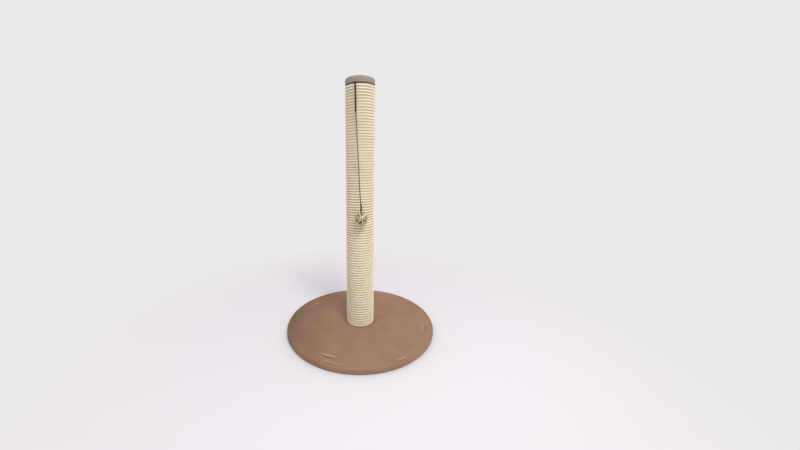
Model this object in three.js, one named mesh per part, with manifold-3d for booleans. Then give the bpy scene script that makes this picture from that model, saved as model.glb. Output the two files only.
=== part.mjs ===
// A cat scratching post: a round base covered in plush, a paper tube wound with sisal rope, a padded
// plush cap, and an openwork ball with a bell inside that hangs from the cap on a knotted cord.
// Millimetres, +Z up, the floor at z = 0 and the post's axis on Z. The front faces -Y.
import * as THREE from "three";
import { mergeVertices } from "three/addons/utils/BufferGeometryUtils.js";
import { ConvexGeometry } from "three/addons/geometries/ConvexGeometry.js";
import Module from "manifold-3d";

const wasm = await Module();
wasm.setup();

// ---- Driving dimensions ----

const seatGap = 0.3; // between pieces that touch on the real post

// Base
const boardDiameter = 395;
const boardThickness = 9;
const basePlushThickness = 2;
const hemThickness = 1.5; // the plush pressed flat where it is folded under the board
const baseHemWidth = 22;
const baseEdgeRadius = 3; // outside rounding of the plush over the board's rim
const footPadDiameter = 28;
const footPadThickness = 2.5;
const footPadChamfer = 0.7;
const footPadCount = 4;
const footPadInset = 45; // from the board's edge to the middle of a pad

// Bolt that holds the post on the base
const boltDiameter = 8;
const boltReach = 5; // how far the bolt stands out of the plug
const boltHeadDiameter = 14;
const boltHeadHeight = 4.4;
const boltSocketWidth = 5; // across flats
const boltSocketDepth = 2.4;
const boltHoleClearance = 0.5;
const washerDiameter = 24;
const washerThickness = 1.6;
const recessDepth = 3; // under the board, for the washer and the bolt's head
const recessClearance = 1.5;

// Tube, plugs and the threaded insert
const tubeLength = 624;
const tubeDiameter = 60;
const tubeWall = 4;
const plugThickness = 25;
const insertDiameter = 11.4;
const insertLength = 17;
const insertFlangeDiameter = 18;
const insertFlangeThickness = 1.5;

// Sisal rope
const ropeDiameter = 6;
const ropeLay = 6.7; // height that one turn takes up, before it is shared out evenly
const ropeGlueGap = 0.4; // glue between the rope and the tube
const ropeEndRoom = 0.4; // from each end of the rope to the base or the cap
const ropeSteps = 12; // per turn
const ropeSides = 4;
const tackHeadDiameter = 5;
const tackHeadHeight = 1;
const tackDiameter = 1.4;
const tackBite = 3; // how deep the point goes into the tube's wall

// Cap
const capOverhang = 1; // how far the finished cap stands out over the rope
const capBoardThickness = 8;
const capPaddingThickness = 6;
const capPlushThickness = 2;
const capHemWidth = 18;
const capLowerRadius = 1.5;
const capCrown = 0.8; // how much the top rises to its middle
const capScrewDiameter = 4;
const capScrewHeadDiameter = 8;
const capScrewHeadHeight = 2.6;
const capScrewBite = 7.5; // length inside the cap's board
const capScrewSpacing = 22;
const screwHoleClearance = 0.4;

// Hanging toy
const cordDiameter = 1.8;
const cordSides = 8;
const cordHeadRings = 6; // in the round head of a strand
const cordStep = 3; // in diameters, where the cord hangs straight
const tightBendSteps = 8; // in a half turn
// The cord's centreline from the cap's edge down to the doubled end above the ball. Each point is its
// place to the right, its distance out from the front of the rope and its drop below the cap.
const cordRoute = [
  [-11.0, 2.4, 4.4],
  [-10.8, 3.1, 19],
  [-10.5, 3.8, 36],
  [-10.2, 4.5, 51],
  [-9.9, 5.2, 66],
  [-9.1, 5.8, 80],
  [-8.2, 6.6, 98],
  [-7.4, 7.4, 116],
  [-6.5, 8.2, 134],
  [-5.7, 9.0, 152],
  [-4.8, 9.8, 170],
  [-3.9, 10.6, 188],
  [-3.0, 11.4, 206],
  [-2.1, 12.3, 224],
  [-1.2, 13.1, 242],
  [-0.3, 13.9, 260],
  [0.6, 14.5, 274],
  [1.2, 15.0, 285],
];
const doubledSteps = 4; // of the route, from the cap's edge down to the upper knot's middle
const cordStapleWire = 0.8;
const cordStapleLength = 4.8;
const cordStapleBite = 5;
const cordStapleInset = 5; // from the exit plane to the staple's front leg
const cordBendRadius = 2;
const strandSpreadAtKnot = 1.05; // half the distance between the two strands
const knotDiameter = 5.2;
const knotHeight = 5;
const knotWaistAngle = 12; // degrees from a wrap's middle to the waist between the two
const knotShoulderAngle = 50; // degrees from a wrap's middle to the knot's flat end
const tailLength = 5;

// Ball
const ballDiameter = 32.4;
const ballWall = 2;
const ballBarWidth = 3;
const ballHubDiameter = 7;
const ballTieTilt = THREE.MathUtils.degToRad(15); // from the middle of the bar that the cord holds
const ballHang = 38.2; // from the ball's middle up to the last point of the route
const ballSides = 16;
const hubSides = 8;
const bellDiameter = 13;
const bellWall = 0.6;
const bellSlotWidth = 1.4;
const bellSlotLength = 10;
const bellPeaDiameter = 3.6;
const bellSides = 12;

// Facets
const baseSides = 48;
const postSides = 28;
const turnedSides = 14;
const smallSides = 10;

// ---- Heights and radii that follow ----

const boardBottom = footPadThickness + hemThickness;
const boardTop = boardBottom + boardThickness;
const baseTop = boardTop + basePlushThickness;
const boardRadius = boardDiameter / 2;
const baseRadius = boardRadius + seatGap + basePlushThickness;
const boltHoleRadius = boltDiameter / 2 + boltHoleClearance;
const washerTop = boardBottom + recessDepth;
const washerBottom = washerTop - washerThickness;
const plugTop = baseTop + plugThickness;
const tubeRadius = tubeDiameter / 2;
const plugRadius = tubeRadius - tubeWall - seatGap;
const capBottom = baseTop + tubeLength;
const capBoardBottom = capBottom + hemThickness;
const capBoardTop = capBoardBottom + capBoardThickness;
const ropeRadius = ropeDiameter / 2;
// The corners of a turn stand out, so that its flats clear the tube by the glue's thickness.
const ropePathRadius = (tubeRadius + ropeGlueGap + ropeRadius) / Math.cos(Math.PI / ropeSteps);
const ropeFront = ropePathRadius + ropeRadius; // from the post's axis to the front of the rope
const capRadius = ropeFront + capOverhang;
const capBoardRadius = capRadius - capPlushThickness - seatGap;
const capEdgeRadius = capPaddingThickness + capPlushThickness; // the padded top edge is round
const capShoulder = capBoardTop + capEdgeRadius;
const cordRadius = cordDiameter / 2;
// Half the distance between the strands, which clear the corners of the wire between them.
const strandSpread = cordStapleWire * Math.SQRT1_2 + seatGap + cordRadius;
const ballRadius = ballDiameter / 2;
const bellRadius = bellDiameter / 2;
const fullTurn = 2 * Math.PI;

// ---- Shapes ----

// A solid turned about Z from a closed outline of [radius, height] points, listed anticlockwise.
function turned(outline, sides) {
  const points = outline.map(([radius, height]) => new THREE.Vector2(radius, height));
  points.push(points[0].clone());
  return new THREE.LatheGeometry(points, sides).rotateX(Math.PI / 2);
}

// Points on an arc about [radius, height], from one angle to another in degrees.
function arc([radius, height], size, from, to, steps) {
  return Array.from({ length: steps + 1 }, (_, i) => {
    const angle = THREE.MathUtils.degToRad(from + ((to - from) * i) / steps);
    return [radius + size * Math.cos(angle), height + size * Math.sin(angle)];
  });
}

// A plain disc, or a ring when it has a bore.
function disc(radius, bottom, top, sides, bore = 0) {
  return turned([[bore, bottom], [radius, bottom], [radius, top], [bore, top]], sides);
}

// A closed geometry as a solid that can be cut and joined.
function solid(geometry) {
  const bare = geometry.clone();
  bare.deleteAttribute("normal");
  bare.deleteAttribute("uv");
  const merged = mergeVertices(bare, 1e-4);
  const corners = [];
  for (let i = 0; i < merged.index.count; i += 3) {
    const [a, b, c] = merged.index.array.slice(i, i + 3);
    if (a !== b && b !== c && c !== a) corners.push(a, b, c);
  }
  const vertProperties = merged.attributes.position.array;
  return new wasm.Manifold(new wasm.Mesh({ numProp: 3, vertProperties, triVerts: new Uint32Array(corners) }));
}

// The geometry of a cut or joined solid.
function shapeOf(cutSolid) {
  const { vertProperties, triVerts } = cutSolid.getMesh();
  const geometry = new THREE.BufferGeometry();
  geometry.setAttribute("position", new THREE.BufferAttribute(vertProperties, 3));
  geometry.setIndex(new THREE.BufferAttribute(triVerts, 1));
  geometry.computeVertexNormals();
  return geometry;
}

// One geometry with others cut out of it.
function cut(geometry, cutters) {
  return shapeOf(cutters.reduce((body, cutter) => body.subtract(solid(cutter)), solid(geometry)));
}

// A box between two corners.
function block(low, high) {
  const size = high.map((value, axis) => value - low[axis]);
  const middle = high.map((value, axis) => (value + low[axis]) / 2);
  return new THREE.BoxGeometry(...size).translate(...middle);
}

// A round cord along a curve, square at both ends.
function cordAlong(curve, steps = Math.round(curve.getLength() / (cordStep * cordDiameter))) {
  const section = new THREE.Shape(
    Array.from({ length: cordSides }, (_, i) => {
      const angle = (i / cordSides) * fullTurn;
      return new THREE.Vector2(cordRadius * Math.cos(angle), cordRadius * Math.sin(angle));
    }),
  );
  return new THREE.ExtrudeGeometry(section, { steps, extrudePath: curve, bevelEnabled: false });
}

// A tube through rings of points that all have the same count, closed at both ends.
function tubeThrough(rings) {
  const sides = rings[0].length;
  const positions = rings.flat().flatMap((point) => point.toArray());
  const corners = [];
  for (let ring = 0; ring < rings.length - 1; ring++) {
    for (let side = 0; side < sides; side++) {
      const next = (side + 1) % sides;
      const [a, b] = [ring * sides + side, ring * sides + next];
      corners.push(a, b, b + sides, a, b + sides, a + sides);
    }
  }
  const last = (rings.length - 1) * sides;
  for (let side = 1; side < sides - 1; side++) {
    corners.push(0, side + 1, side);
    corners.push(last, last + side, last + side + 1);
  }
  const geometry = new THREE.BufferGeometry();
  geometry.setAttribute("position", new THREE.Float32BufferAttribute(positions, 3));
  geometry.setIndex(corners);
  geometry.computeVertexNormals();
  return geometry;
}

// ---- Finishes ----

function finish(color, roughness, metalness = 0) {
  return new THREE.MeshStandardMaterial({ color, roughness, metalness });
}

const brownPlush = finish("#a08067", 1);
const greyPlush = finish("#918d85", 1);
const boardWood = finish("#b08a5c", 0.85);
const felt = finish("#4a4744", 1);
const rubber = finish("#2b2a29", 0.8);
const steel = finish("#b9bcc0", 0.35, 1);
const plugWood = finish("#c9a877", 0.8);
const kraftPaper = finish("#a98558", 0.9);
const sisal = finish("#e3d2ab", 0.95);
const foam = finish("#e9e4d6", 1);
const brownCord = finish("#4f3c26", 0.9);
const ballPlastic = finish("#c9bf8a", 0.5);
const brass = finish("#b08d4a", 0.35, 1);

// ---- The post, piece by piece ----

const post = new THREE.Group();

function addPiece(name, geometry, material, parent = post) {
  const piece = new THREE.Mesh(geometry, material);
  piece.name = name;
  parent.add(piece);
  return piece;
}

function addBase() {
  const recessRadius = washerDiameter / 2 + recessClearance;
  const board = [
    [boltHoleRadius, washerTop],
    [recessRadius, washerTop],
    [recessRadius, boardBottom],
    [boardRadius, boardBottom],
    [boardRadius, boardTop],
    [boltHoleRadius, boardTop],
  ];
  addPiece("base_board", turned(board, baseSides), boardWood);

  // One skin over the board: top, rounded rim and the hem folded under.
  const hemInner = boardRadius - baseHemWidth;
  const lowerRadius = baseEdgeRadius * 0.7;
  const plush = [
    [hemInner, footPadThickness],
    ...arc([baseRadius - lowerRadius, footPadThickness + lowerRadius], lowerRadius, -90, 0, 2),
    ...arc([baseRadius - baseEdgeRadius, baseTop - baseEdgeRadius], baseEdgeRadius, 0, 90, 3),
    [boltHoleRadius, baseTop],
    [boltHoleRadius, boardTop],
    [boardRadius + seatGap, boardTop],
    [boardRadius + seatGap, boardBottom],
    [hemInner, boardBottom],
  ];
  addPiece("base_plush", turned(plush, baseSides), brownPlush);

  const underlay = disc(hemInner - seatGap, footPadThickness, boardBottom, baseSides, recessRadius);
  addPiece("base_underlay", underlay, felt);

  const padRadius = footPadDiameter / 2;
  const pad = [
    [0, 0],
    [padRadius - footPadChamfer, 0],
    [padRadius, footPadChamfer],
    [padRadius, footPadThickness],
    [0, footPadThickness],
  ];
  for (let i = 0; i < footPadCount; i++) {
    const angle = ((i + 0.5) / footPadCount) * fullTurn;
    const reach = boardRadius - footPadInset;
    const footPad = addPiece(`foot_pad_${i + 1}`, turned(pad, turnedSides), rubber);
    footPad.position.set(reach * Math.cos(angle), reach * Math.sin(angle), 0);
  }
}

function addBolt() {
  const head = turned(
    [
      [0, washerBottom - boltHeadHeight],
      [boltHeadDiameter * 0.3, washerBottom - boltHeadHeight],
      [boltHeadDiameter / 2, washerBottom - boltHeadHeight * 0.35],
      [boltHeadDiameter / 2, washerBottom],
      [boltDiameter / 2, washerBottom],
      [boltDiameter / 2, plugTop + boltReach - 1],
      [boltDiameter / 2 - 1, plugTop + boltReach],
      [0, plugTop + boltReach],
    ],
    turnedSides,
  );
  const socketRadius = boltSocketWidth / Math.sqrt(3); // to the corners of the hexagon
  const headBottom = washerBottom - boltHeadHeight;
  const socket = disc(socketRadius, headBottom - 1, headBottom + boltSocketDepth, 6);
  addPiece("base_bolt", cut(head, [socket]), steel);
  const washer = disc(washerDiameter / 2, washerBottom, washerTop, turnedSides, boltHoleRadius);
  addPiece("bolt_washer", washer, steel);
}

function addTubeAndPlugs() {
  // The insert is pressed into the plug from below, flush with its foot.
  const boreRadius = boltDiameter / 2 + seatGap;
  const flangeTop = baseTop + insertFlangeThickness;
  const insert = [
    [boreRadius, baseTop],
    [insertFlangeDiameter / 2, baseTop],
    [insertFlangeDiameter / 2, flangeTop],
    [insertDiameter / 2, flangeTop],
    [insertDiameter / 2, baseTop + insertLength],
    [boreRadius, baseTop + insertLength],
  ];
  addPiece("plug_insert", turned(insert, turnedSides), steel);

  const seatRadius = insertDiameter / 2 + seatGap;
  const flangeSeatRadius = insertFlangeDiameter / 2 + seatGap;
  const seatTop = baseTop + insertLength + seatGap;
  const bottomPlug = [
    [flangeSeatRadius, baseTop],
    [plugRadius, baseTop],
    [plugRadius, plugTop],
    [boltHoleRadius, plugTop],
    [boltHoleRadius, seatTop],
    [seatRadius, seatTop],
    [seatRadius, flangeTop + seatGap],
    [flangeSeatRadius, flangeTop + seatGap],
  ];
  addPiece("bottom_plug", turned(bottomPlug, postSides), plugWood);

  const holes = capScrewPlaces().map((x) => {
    const radius = (capScrewDiameter + screwHoleClearance) / 2 + seatGap;
    return disc(radius, capBottom - plugThickness - 1, capBottom + 1, smallSides).translate(x, 0, 0);
  });
  const topPlug = disc(plugRadius, capBottom - plugThickness, capBottom, postSides);
  addPiece("top_plug", cut(topPlug, holes), plugWood);

  const tube = disc(tubeRadius, baseTop, capBottom, postSides, tubeRadius - tubeWall);
  addPiece("post_tube", cut(tube, ropeEnds().map(tackHole)), kraftPaper);
}

// ---- Sisal rope, wound from the base up to the cap as one unbroken length ----

const ropeFirstHeight = baseTop + ropeEndRoom + ropeRadius;
const ropeLastHeight = capBottom - ropeEndRoom - ropeRadius;
const ropeTurns = Math.floor((ropeLastHeight - ropeFirstHeight) / ropeLay);
const ropePitch = (ropeLastHeight - ropeFirstHeight) / ropeTurns;

// The frame of the rope at a turn: its middle, the way out from the post and the way along.
function ropeFrame(turn) {
  const angle = Math.PI / 2 + turn * fullTurn; // both ends are at the back
  const out = new THREE.Vector3(Math.cos(angle), Math.sin(angle), 0);
  const along = new THREE.Vector3(-Math.sin(angle), Math.cos(angle), 0);
  const middle = out.clone().multiplyScalar(ropePathRadius).setZ(ropeFirstHeight + turn * ropePitch);
  return { middle, out, along };
}

// The two straight ends, one rope's diameter long, each with the way that it points.
function ropeEnds() {
  return [
    { ...ropeFrame(0), way: -1 },
    { ...ropeFrame(ropeTurns), way: 1 },
  ];
}

function ropeRing({ middle, out }) {
  return Array.from({ length: ropeSides }, (_, side) => {
    const angle = (side / ropeSides) * fullTurn;
    const point = middle.clone().addScaledVector(out, ropeRadius * Math.cos(angle));
    return point.setZ(point.z - ropeRadius * Math.sin(angle));
  });
}

function endRing({ middle, out, along, way }) {
  return ropeRing({ middle: middle.clone().addScaledVector(along, way * ropeDiameter), out });
}

// The least clear distance from one turn to the next, measured on points along the rope.
function leastRopeGap() {
  const perTurn = ropeSteps * 2;
  const points = Array.from({ length: ropeTurns * perTurn + 1 }, (_, i) => ropeFrame(i / perTurn).middle);
  let least = Infinity;
  points.forEach((point, i) => {
    const next = points.slice(i + perTurn / 2, i + perTurn * 2);
    next.forEach((other) => (least = Math.min(least, point.distanceTo(other))));
  });
  return least - ropeDiameter;
}

// The middle of a straight end, from which its tack is driven in towards the post's axis.
function tackMiddle({ middle, along, way }) {
  return middle.clone().addScaledVector(along, (way * ropeDiameter) / 2);
}

// Stands a shape turned about Z on a rope's end, with +Z pointing out of the post.
function onRopeEnd(geometry, end) {
  return geometry.rotateX(-Math.PI / 2).translate(...tackMiddle(end));
}

const tackLength = ropePathRadius + ropeRadius + seatGap - tubeRadius + tackBite;

function tackHole(end) {
  const radius = tackDiameter / 2 + seatGap;
  return onRopeEnd(disc(radius, -tackLength, tackLength, smallSides), end);
}

function tack(end) {
  const headBottom = ropeRadius + seatGap;
  const shank = tackDiameter / 2;
  const outline = [
    [0, headBottom - tackLength],
    [shank, headBottom - tackLength + tackBite],
    [shank, headBottom],
    [tackHeadDiameter / 2, headBottom],
    [tackHeadDiameter * 0.35, headBottom + tackHeadHeight],
    [0, headBottom + tackHeadHeight],
  ];
  return onRopeEnd(turned(outline, smallSides), end);
}

function addRope() {
  const [start, end] = ropeEnds();
  const rings = [endRing(start)];
  for (let step = 0; step <= ropeTurns * ropeSteps; step++) rings.push(ropeRing(ropeFrame(step / ropeSteps)));
  rings.push(endRing(end));
  addPiece("sisal_rope", cut(tubeThrough(rings), [start, end].map(tackHole)), sisal);
  addPiece("rope_tack_bottom", tack(start), steel);
  addPiece("rope_tack_top", tack(end), steel);
  console.log(`sisal rope: ${ropeTurns} turns, least gap to itself ${leastRopeGap().toFixed(2)} mm`);
}

// ---- Cap ----

function capScrewPlaces() {
  return [-capScrewSpacing / 2, capScrewSpacing / 2];
}

function addCap() {
  const innerRadius = capRadius - capPlushThickness;
  const innerEdge = capEdgeRadius - capPlushThickness;
  const edgeCentre = [capRadius - capEdgeRadius, capBoardTop];
  const hemInner = capBoardRadius - capHemWidth;
  const plush = [
    [hemInner, capBottom],
    ...arc([capRadius - capLowerRadius, capBottom + capLowerRadius], capLowerRadius, -90, 0, 2),
    ...arc(edgeCentre, capEdgeRadius, 0, 90, 4),
    [0, capShoulder + capCrown],
    [0, capShoulder + capCrown - capPlushThickness],
    ...arc(edgeCentre, innerEdge, 90, 0, 3),
    [innerRadius, capBoardBottom],
    [hemInner, capBoardBottom],
  ];
  addPiece("cap_plush", turned(plush, postSides), greyPlush);

  const paddingEdge = innerEdge - seatGap;
  const padding = [
    [0, capBoardTop],
    [innerRadius - seatGap, capBoardTop],
    ...arc(edgeCentre, paddingEdge, 0, 90, 2),
    [0, capShoulder + capCrown - capPlushThickness - seatGap],
  ];
  addPiece("cap_padding", turned(padding, postSides), foam);

  const staple = cordStaplePlace();
  const pilotRadius = capScrewDiameter / 2 + seatGap;
  const pilotTop = capBoardBottom + capScrewBite + seatGap;
  const pilot = disc(pilotRadius, capBoardBottom - 1, pilotTop, smallSides);
  const pilots = capScrewPlaces().map((x) => pilot.clone().translate(x, 0, 0));
  const stapleHoles = staple.legs.map((y) =>
    block(
      [staple.x - cordStapleWire / 2 - seatGap, y - cordStapleWire / 2 - seatGap, capBoardBottom - 1],
      [staple.x + cordStapleWire / 2 + seatGap, y + cordStapleWire / 2 + seatGap, staple.top + seatGap],
    ),
  );
  const board = disc(capBoardRadius, capBoardBottom, capBoardTop, postSides);
  addPiece("cap_board", cut(board, [...pilots, ...stapleHoles]), boardWood);
  const cover = post.getObjectByName("cap_plush");
  cover.geometry = cut(
    cover.geometry,
    stapleHoles.map((hole) => hole.clone().translate(0, 0, -hemThickness - 1)),
  );

  const headTop = capBottom - plugThickness;
  const screwTop = capBoardBottom + capScrewBite;
  const screw = [
    [0, headTop - capScrewHeadHeight],
    [capScrewHeadDiameter * 0.35, headTop - capScrewHeadHeight],
    [capScrewHeadDiameter / 2, headTop - capScrewHeadHeight * 0.4],
    [capScrewHeadDiameter / 2, headTop],
    [capScrewDiameter / 2, headTop],
    [capScrewDiameter / 2, screwTop - capScrewDiameter],
    [0, screwTop],
  ];
  capScrewPlaces().forEach((x, i) => {
    addPiece(`cap_screw_${i + 1}`, turned(screw, smallSides), steel).position.set(x, 0, 0);
  });
}

// ---- Hanging toy ----

const cordPoints = cordRoute.map(([right, out, drop]) => {
  return new THREE.Vector3(right, -ropeFront - out, capBottom - drop);
});
const cordExit = cordPoints[0];
const bightHeight = capBottom - seatGap - cordRadius;
const exitPlane = cordExit.y + cordBendRadius; // where the cord comes out over the rope's top turn
const bendFoot = bightHeight - cordBendRadius;

// The wire staple under the cap that the cord's bight is hooked round.
function cordStaplePlace() {
  const frontLeg = exitPlane + cordStapleInset;
  const crownTop = bightHeight - cordRadius - seatGap;
  return {
    x: cordExit.x,
    legs: [frontLeg, frontLeg + cordStapleLength - cordStapleWire],
    crownTop,
    top: capBoardBottom + cordStapleBite,
  };
}

function addCordStaple() {
  const { x, legs, crownTop, top } = cordStaplePlace();
  const half = cordStapleWire / 2;
  const crownBottom = crownTop - cordStapleWire;
  const crown = block([x - half, legs[0] - half, crownBottom], [x + half, legs[1] + half, crownTop]);
  const wires = legs.map((y) => block([x - half, y - half, crownBottom], [x + half, y + half, top]));
  const staple = wires.reduce((body, leg) => body.add(solid(leg)), solid(crown));
  addPiece("cord_staple", shapeOf(staple), steel);
}

// The doubled cord under the cap: out on one side of the staple's leg, round it and back on the other.
function addBight() {
  const { x, legs } = cordStaplePlace();
  const at = (side, y) => new THREE.Vector3(x + side * strandSpread, y, bightHeight);
  const turnPoints = Array.from({ length: tightBendSteps + 1 }, (_, i) => {
    const angle = Math.PI * (1 - i / tightBendSteps);
    const [across, inward] = [strandSpread * Math.cos(angle), strandSpread * Math.sin(angle)];
    return new THREE.Vector3(x + across, legs[0] + inward, bightHeight);
  });
  const hairpin = new THREE.CatmullRomCurve3([at(-1, exitPlane), ...turnPoints, at(1, exitPlane)]);
  addPiece("cord_bight", cordAlong(hairpin, 3 * tightBendSteps), brownCord);
}

// The two short bends from under the cap down to the hanging strands.
function addBends() {
  [-1, 1].forEach((side) => {
    const x = cordExit.x + side * strandSpread;
    const start = exitPlane - seatGap;
    const corner = new THREE.Vector3(x, cordExit.y, bightHeight);
    const from = new THREE.Vector3(x, start, bightHeight);
    const to = new THREE.Vector3(x, cordExit.y, bendFoot);
    const bend = cordAlong(new THREE.QuadraticBezierCurve3(from, corner, to), tightBendSteps / 2);
    addPiece(side < 0 ? "cord_bend_left" : "cord_bend_right", bend, brownCord);
  });
}

// Two strands side by side, from a round head in the bend's foot down to the upper knot.
function addStrands() {
  const knot = cordPoints[doubledSteps];
  const knotTop = knot.z + knotHeight / 2 + seatGap;
  [-1, 1].forEach((side) => {
    const points = cordPoints.slice(0, doubledSteps + 1).map((point, i) => {
      const spread = THREE.MathUtils.lerp(strandSpread, strandSpreadAtKnot, i / doubledSteps);
      return point.clone().add(new THREE.Vector3(side * spread, 0, 0));
    });
    const last = points.length - 1;
    const above = points[last - 1];
    points[last].lerpVectors(above, points[last], (above.z - knotTop) / (above.z - knot.z));
    points[0].z = bendFoot - seatGap - cordRadius;
    const head = new THREE.SphereGeometry(cordRadius, cordSides, cordHeadRings);
    head.rotateX(Math.PI / 2).translate(...points[0]);
    const strand = solid(cordAlong(new THREE.CatmullRomCurve3(points))).add(solid(head));
    addPiece(side < 0 ? "cord_strand_left" : "cord_strand_right", shapeOf(strand), brownCord);
  });
}

// A pulled-tight knot: two rounded wraps with a waist between them, about the origin.
function knotShape() {
  const half = knotHeight / 2;
  const outline = [
    [0, -half],
    ...arc([0, -half * 0.45], knotDiameter / 2, -knotShoulderAngle, knotWaistAngle, 3),
    [knotDiameter * 0.43, 0],
    ...arc([0, half * 0.45], knotDiameter / 2, -knotWaistAngle, knotShoulderAngle, 3),
    [0, half],
  ];
  const trimmed = outline.map(([radius, height]) => [radius, THREE.MathUtils.clamp(height, -half, half)]);
  return turned(trimmed, smallSides);
}

// The group in which +Z runs up along the line from the ball's middle to the cord's last point.
function hangingGroup() {
  const last = cordPoints[cordPoints.length - 1];
  const above = cordPoints[cordPoints.length - 4];
  const up = above.clone().sub(last).normalize();
  const group = new THREE.Group();
  group.quaternion.setFromUnitVectors(new THREE.Vector3(0, 0, 1), up);
  group.position.copy(last).addScaledVector(up, -ballHang);
  post.add(group);
  return group;
}

function addCord() {
  const knot = cordPoints[doubledSteps];
  const upperKnot = addPiece("upper_knot", knotShape(), brownCord);
  upperKnot.position.copy(knot);
  const points = cordPoints.slice(doubledSteps).map((point) => point.clone());
  points[0].lerp(points[1], (knotHeight / 2 + seatGap) / (points[0].z - points[1].z));
  addPiece("toy_cord", cordAlong(new THREE.CatmullRomCurve3(points)), brownCord);
}

// The tied end: doubled cord, knot, tail and the loop round the ball's bar. It turns with the ball.
function addTie(group, barFrame) {
  const barMiddle = ballRadius - ballWall / 2;
  const loopRadius = Math.hypot(ballBarWidth / 2, ballWall / 2) + seatGap + cordRadius;
  const loop = new THREE.TorusGeometry(loopRadius, cordRadius, cordSides, 1.5 * tightBendSteps);
  addPiece("tie_loop", loop.applyMatrix4(barFrame).translate(0, 0, barMiddle), brownCord, group);

  const knotMiddle = barMiddle + loopRadius + cordRadius + seatGap + knotHeight / 2;
  addPiece("lower_knot", knotShape(), brownCord, group).position.set(0, 0, knotMiddle);
  const strandBottom = knotMiddle + knotHeight / 2 + seatGap;
  const strand = (x, top) => disc(cordRadius, strandBottom, top, cordSides).translate(x, 0, 0);
  const returnOffset = cordDiameter + seatGap;
  addPiece("tie_cord", strand(0, ballHang - seatGap), brownCord, group);
  addPiece("tie_return", strand(returnOffset, ballHang - cordDiameter), brownCord, group);
  const tail = disc(cordRadius, knotDiameter / 2 + seatGap, knotDiameter / 2 + tailLength, cordSides);
  tail.rotateY(THREE.MathUtils.degToRad(98)).translate(0, 0, knotMiddle);
  addPiece("tie_tail", tail, brownCord, group);
}

// ---- Ball: two half shells of an open lattice whose bars lie on six great circles ----

// Unit vectors of the lattice: the corners and face centres of a cube.
const cubeCorners = [-1, 1].flatMap((x) =>
  [-1, 1].flatMap((y) => [-1, 1].map((z) => new THREE.Vector3(x, y, z).normalize())),
);
const seamNormal = new THREE.Vector3(1, 1, 0).normalize();
const frontHub = new THREE.Vector3(1, -1, 1).normalize();

// The windows' three corner directions: two neighbouring cube corners and a face centre beside them.
function windowCorners() {
  const windows = [];
  [0, 1, 2].forEach((axis) => {
    [-1, 1].forEach((side) => {
      const centre = new THREE.Vector3().setComponent(axis, side);
      const around = cubeCorners.filter((corner) => corner.getComponent(axis) * side > 0);
      around.forEach((a, i) => {
        around.slice(i + 1).forEach((b) => {
          if (a.angleTo(b) < Math.PI / 2) windows.push([centre, a, b]);
        });
      });
    });
  });
  return windows;
}

// A four-cornered cutter that leaves half a bar beside each of the window's great circles.
function windowCutter([a, b, c]) {
  const inward = (p, q, r) => {
    const normal = p.clone().cross(q).normalize();
    return normal.dot(r) < 0 ? normal.negate() : normal;
  };
  const [n1, n2, n3] = [inward(a, b, c), inward(b, c, a), inward(c, a, b)];
  const apex = n1.clone().cross(n2).add(n2.clone().cross(n3)).add(n3.clone().cross(n1));
  apex.multiplyScalar(ballBarWidth / 2 / n1.dot(n2.clone().cross(n3)));
  const reach = (way) => apex.clone().addScaledVector(way, ballDiameter);
  return new ConvexGeometry([apex, reach(a), reach(b), reach(c)]);
}

// Turns the lattice so that +Z is where the cord holds it and a hub faces the front.
function ballTurn() {
  const alongBar = new THREE.Vector3(0, 0, 1);
  const up = seamNormal.clone().multiplyScalar(Math.cos(ballTieTilt));
  up.addScaledVector(alongBar, Math.sin(ballTieTilt));
  const back = frontHub.clone().addScaledVector(up, -frontHub.dot(up)).normalize().negate();
  const right = back.clone().cross(up);
  return new THREE.Matrix4().makeBasis(right, back, up).transpose();
}

// The frame of the bar that the cord is tied round: +X across the bar, +Y up and +Z along it.
function tiedBarFrame() {
  const across = new THREE.Vector3(1, -1, 0).normalize().transformDirection(ballTurn());
  const up = new THREE.Vector3(0, 0, 1);
  return new THREE.Matrix4().makeBasis(across, up, across.clone().cross(up));
}

function addBall(group) {
  const innerRadius = ballRadius - ballWall;
  const half = (radius) => arc([0, 0], radius, -90, 90, ballSides / 2);
  const sphere = (radius) => solid(turned(half(radius), ballSides));
  const hubs = cubeCorners.map((corner) => {
    const hub = disc(ballHubDiameter / 2, innerRadius / 2, ballDiameter, hubSides);
    return hub.applyQuaternion(new THREE.Quaternion().setFromUnitVectors(new THREE.Vector3(0, 0, 1), corner));
  });
  let shell = sphere(ballRadius).subtract(sphere(innerRadius));
  windowCorners().forEach((corners) => {
    const near = hubs.filter((_, i) => corners.some((corner) => corner.distanceTo(cubeCorners[i]) < 0.01));
    const opening = near.reduce((body, hub) => body.subtract(solid(hub)), solid(windowCutter(corners)));
    shell = shell.subtract(opening);
  });
  const seamTurn = new THREE.Quaternion().setFromUnitVectors(new THREE.Vector3(0, 0, 1), seamNormal);
  const halfSpace = (side) => {
    const box = new THREE.BoxGeometry(2 * ballDiameter, 2 * ballDiameter, ballDiameter);
    box.translate(0, 0, side * (ballDiameter / 2 + seatGap / 2));
    return solid(box.applyQuaternion(seamTurn));
  };
  const upper = shapeOf(shell.intersect(halfSpace(1))).applyMatrix4(ballTurn());
  const lower = shapeOf(shell.intersect(halfSpace(-1))).applyMatrix4(ballTurn());
  addPiece("ball_shell_upper", upper, ballPlastic, group);
  addPiece("ball_shell_lower", lower, ballPlastic, group);
}

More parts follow.
